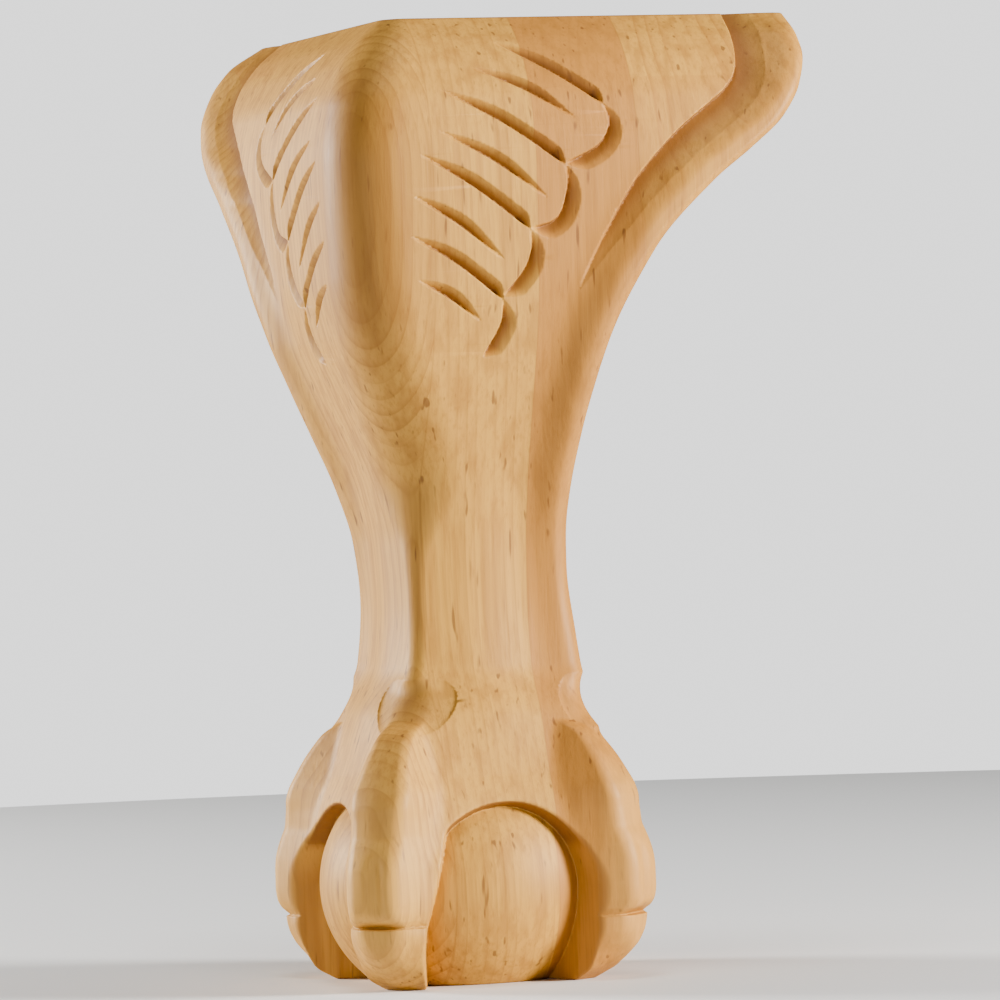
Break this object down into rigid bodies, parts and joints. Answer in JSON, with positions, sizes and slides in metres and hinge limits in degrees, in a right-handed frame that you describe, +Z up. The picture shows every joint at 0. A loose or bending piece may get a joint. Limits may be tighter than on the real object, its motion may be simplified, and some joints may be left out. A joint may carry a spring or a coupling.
{
  "type": "claw and ball furniture foot",
  "caption": "Carved hardwood cabriole foot with a winged knee, feathered carving and a claw that grips a ball.",
  "frame": {"origin": "on the floor, under the centre of the ball", "axes": "+Z up; the knee's corner points to -X -Y, one wing runs to +X and the other to +Y"},
  "size_m": [0.1632, 0.1632, 0.305],
  "materials": {
    "maple": "sanded, unfinished satin"
  },
  "bodies": {
    "root": {"claw_and_ball_foot": "maple"}
  },
  "joints": []
}
